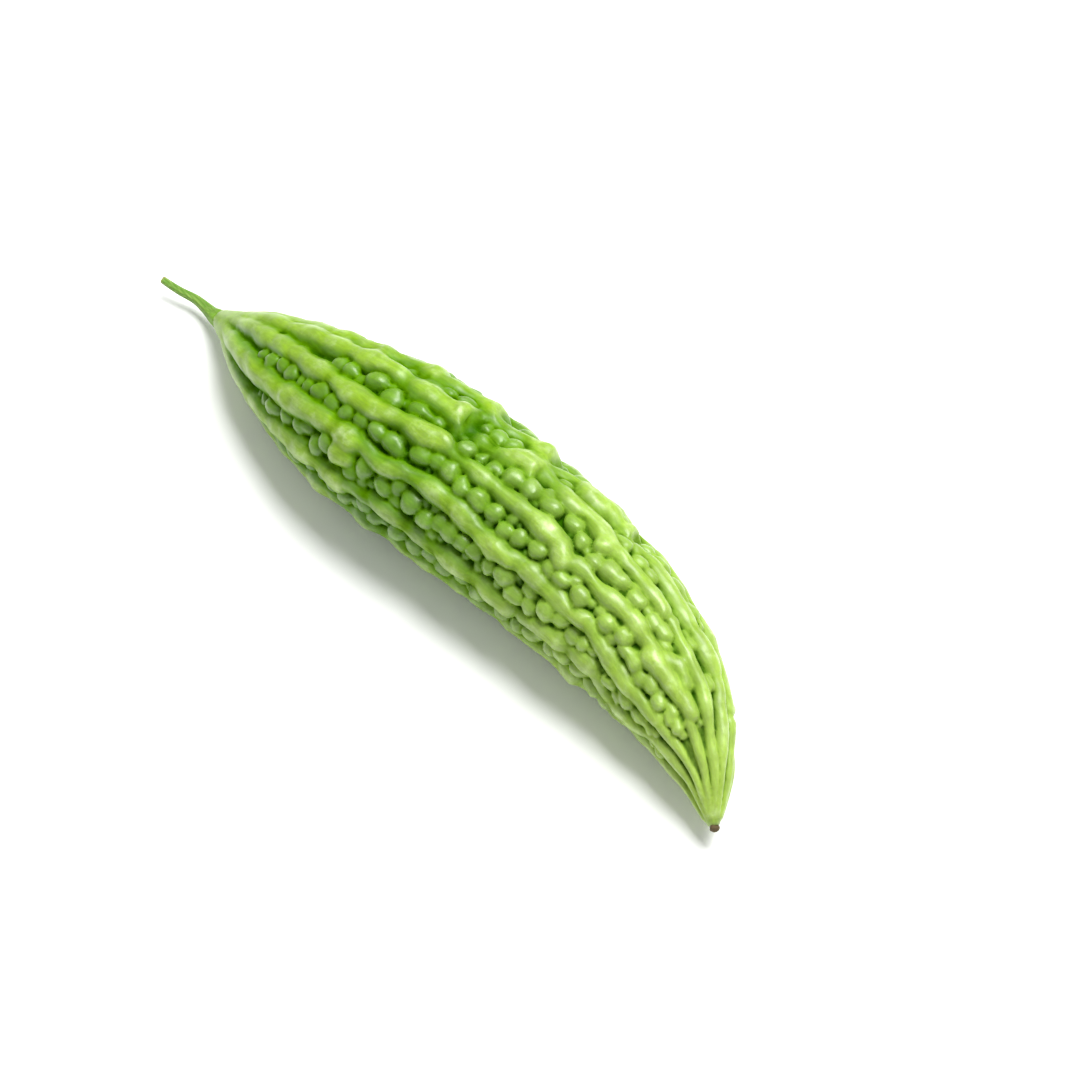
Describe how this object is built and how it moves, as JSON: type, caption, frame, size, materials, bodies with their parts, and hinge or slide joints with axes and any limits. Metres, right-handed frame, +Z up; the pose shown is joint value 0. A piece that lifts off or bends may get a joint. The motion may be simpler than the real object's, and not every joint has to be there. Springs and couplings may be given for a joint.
{
  "type": "bitter gourd",
  "caption": "Whole bitter gourd, ribbed and warted, lying on its belly with its cut stem and the dried rest of its flower.",
  "frame": {"origin": "on the plane that the gourd rests on, under the middle of its bounding box", "axes": "+X along the chord from the stem to the tip, +Y to the side the gourd bows towards, +Z up from the surface it lies on"},
  "size_m": [0.2623, 0.0605, 0.0508],
  "materials": {
    "skin": "waxy satin vegetable skin, light green, paler on the ribs and darker in the furrows",
    "stem": "fibrous green stem, dull, with a pale dried cut",
    "dry_flower": "dry brown flower scar, rough and papery"
  },
  "bodies": {
    "root": {"fruit": "skin", "stem": "stem", "blossom_end": "dry_flower"}
  },
  "joints": []
}
